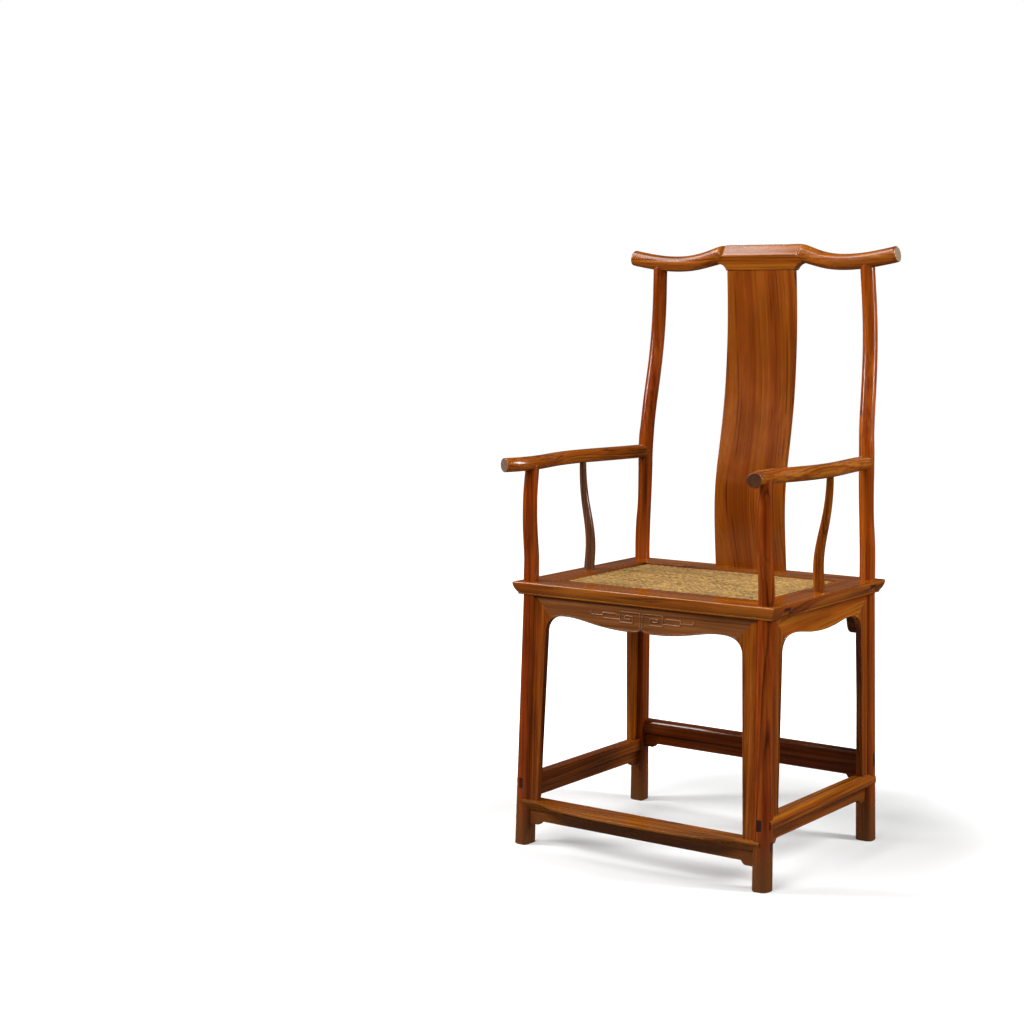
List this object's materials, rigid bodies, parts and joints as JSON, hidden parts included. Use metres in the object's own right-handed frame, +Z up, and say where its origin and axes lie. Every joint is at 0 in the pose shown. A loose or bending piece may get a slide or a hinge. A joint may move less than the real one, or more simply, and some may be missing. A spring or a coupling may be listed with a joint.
{
  "type": "armchair",
  "caption": "Official's hat armchair in polished hardwood: curved crest rail with protruding ends, S-curved splat, bowed arms, soft cane seat, arched carved apron and stepped stretchers.",
  "frame": {"origin": "on the floor, midway between the four feet", "axes": "+Z up, -Y towards the front of the seat, +X to the right as seen from the front"},
  "size_m": [0.6112, 0.5311, 1.1803],
  "materials": {
    "rosewood": "polished, satin to glossy",
    "brace_wood": "planed, plain",
    "cane": "satin",
    "palm_fibre": "matt",
    "bamboo": "satin"
  },
  "bodies": {
    "root": {"armrest_left": "rosewood", "armrest_right": "rosewood", "back_apron": "rosewood", "back_splat": "rosewood", "back_stretcher": "rosewood", "back_stretcher_apron": "rosewood", "cane_mat": "cane", "crest_rail": "rosewood", "edge_strip_front": "rosewood", "edge_strip_left": "rosewood", "edge_strip_rear": "rosewood", "edge_strip_right": "rosewood", "footrest": "rosewood", "footrest_apron": "rosewood", "front_apron_left": "rosewood", "front_apron_right": "rosewood", "front_apron_top": "rosewood", "front_leg_left": "rosewood", "front_leg_right": "rosewood", "palm_webbing": "palm_fibre", "rear_leg_left": "rosewood", "rear_leg_right": "rosewood", "seat_brace_left": "brace_wood", "seat_brace_right": "brace_wood", "seat_rail_front": "rosewood", "seat_rail_left": "rosewood", "seat_rail_rear": "rosewood", "seat_rail_right": "rosewood", "side_apron_left_front": "rosewood", "side_apron_left_rear": "rosewood", "side_apron_left_top": "rosewood", "side_apron_right_front": "rosewood", "side_apron_right_rear": "rosewood", "side_apron_right_top": "rosewood", "side_post_left": "rosewood", "side_post_right": "rosewood", "side_stretcher_apron_left": "rosewood", "side_stretcher_apron_right": "rosewood", "side_stretcher_left": "rosewood", "side_stretcher_right": "rosewood", "strip_pins": "bamboo"}
  },
  "joints": []
}
